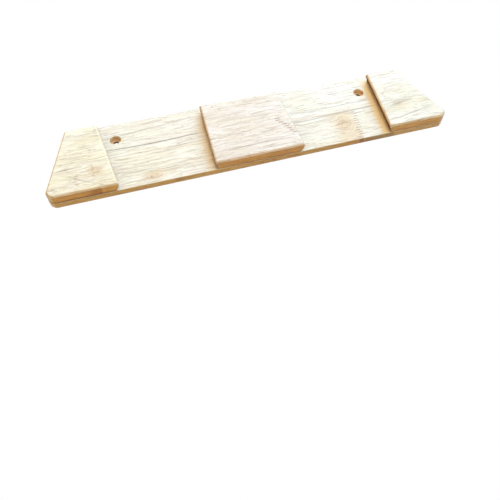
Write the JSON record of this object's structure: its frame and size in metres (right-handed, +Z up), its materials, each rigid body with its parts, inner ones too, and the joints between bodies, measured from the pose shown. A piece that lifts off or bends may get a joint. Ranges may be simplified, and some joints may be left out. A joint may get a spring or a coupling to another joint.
{
  "type": "ski wall rack",
  "caption": "Wall-hung wooden ski rack: a trapezoid back board with tapered, undercut blocks that leave ski slots between them.",
  "frame": {"origin": "on the back of the board, the wall plane, midway between the two wall screw holes", "axes": "+Z up when the rack hangs on its wall, the long edge below; +Y into the wall; the ski slots face -Y; +X to the right when seen from the front"},
  "size_m": [0.4758, 0.0188, 0.1016],
  "materials": {
    "board_wood": "sanded, clear satin lacquer",
    "end_block_wood": "sanded, clear satin lacquer",
    "centre_block_wood": "sanded, clear satin lacquer",
    "screw_steel": "zinc plated"
  },
  "bodies": {
    "root": {"back_board": "board_wood", "left_end_block": "end_block_wood", "right_end_block": "end_block_wood", "centre_block": "centre_block_wood", "left_block_lower_screw": "screw_steel", "left_block_upper_screw": "screw_steel", "right_block_lower_screw": "screw_steel", "right_block_upper_screw": "screw_steel", "centre_block_left_screw": "screw_steel", "centre_block_right_screw": "screw_steel"}
  },
  "joints": []
}
